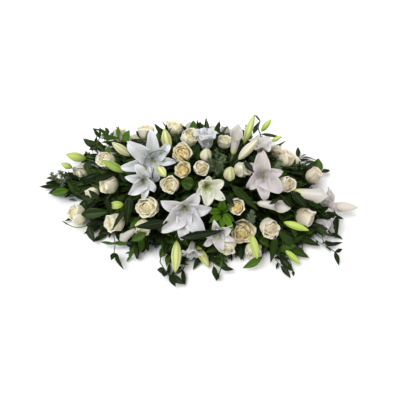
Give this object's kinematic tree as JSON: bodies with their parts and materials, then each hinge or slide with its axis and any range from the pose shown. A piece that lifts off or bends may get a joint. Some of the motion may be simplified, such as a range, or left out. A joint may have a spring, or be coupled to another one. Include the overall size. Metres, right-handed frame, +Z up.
{
  "type": "casket spray",
  "caption": "Low double-ended spray of roses, lilies, callas and leafy greens, standing in wet foam bricks in a shallow tray, for the lid of a casket.",
  "frame": {"origin": "middle of the tray's flat underside, on the surface that the spray stands on", "axes": "+X along the spray's length, to the right in the picture; -Y to its front; +Z up"},
  "size_m": [1.2096, 0.7324, 0.3655],
  "materials": {
    "rose_petals": "satin",
    "lily_petals": "satin",
    "calla_spathes": "satin",
    "green_leaves": "satin",
    "wet_foam": "matte",
    "tray_plastic": "satin"
  },
  "bodies": {
    "root": {"calla_01": "calla_spathes", "calla_02": "calla_spathes", "calla_03": "calla_spathes", "calla_04": "calla_spathes", "calla_back": "calla_spathes", "foam_left": "wet_foam", "foam_right": "wet_foam", "greens_back_left": "green_leaves", "greens_back_right": "green_leaves", "greens_front_left": "green_leaves", "greens_front_right": "green_leaves", "greens_left": "green_leaves", "greens_right": "green_leaves", "greens_top": "green_leaves", "lily_01": "lily_petals", "lily_02": "lily_petals", "lily_03": "lily_petals", "lily_04": "lily_petals", "lily_05": "lily_petals", "lily_06": "lily_petals", "lily_07": "lily_petals", "lily_08": "lily_petals", "lily_09": "lily_petals", "lily_10": "lily_petals", "lily_11": "lily_petals", "lily_back_left": "lily_petals", "lily_back_right": "lily_petals", "lily_bud_stem": "lily_petals", "rose_01": "rose_petals", "rose_02": "rose_petals", "rose_03": "rose_petals", "rose_04": "rose_petals", "rose_05": "rose_petals", "rose_06": "rose_petals", "rose_07": "rose_petals", "rose_08": "rose_petals", "rose_09": "rose_petals", "rose_10": "rose_petals", "rose_11": "rose_petals", "rose_12": "rose_petals", "rose_13": "rose_petals", "rose_14": "rose_petals", "rose_15": "rose_petals", "rose_16": "rose_petals", "rose_17": "rose_petals", "rose_18": "rose_petals", "rose_19": "rose_petals", "rose_20": "rose_petals", "rose_21": "rose_petals", "rose_22": "rose_petals", "rose_23": "rose_petals", "rose_24": "rose_petals", "rose_25": "rose_petals", "rose_26": "rose_petals", "rose_27": "rose_petals", "rose_28": "rose_petals", "rose_29": "rose_petals", "roses_back_left": "rose_petals", "roses_back_right": "rose_petals", "tray": "tray_plastic"}
  },
  "joints": []
}
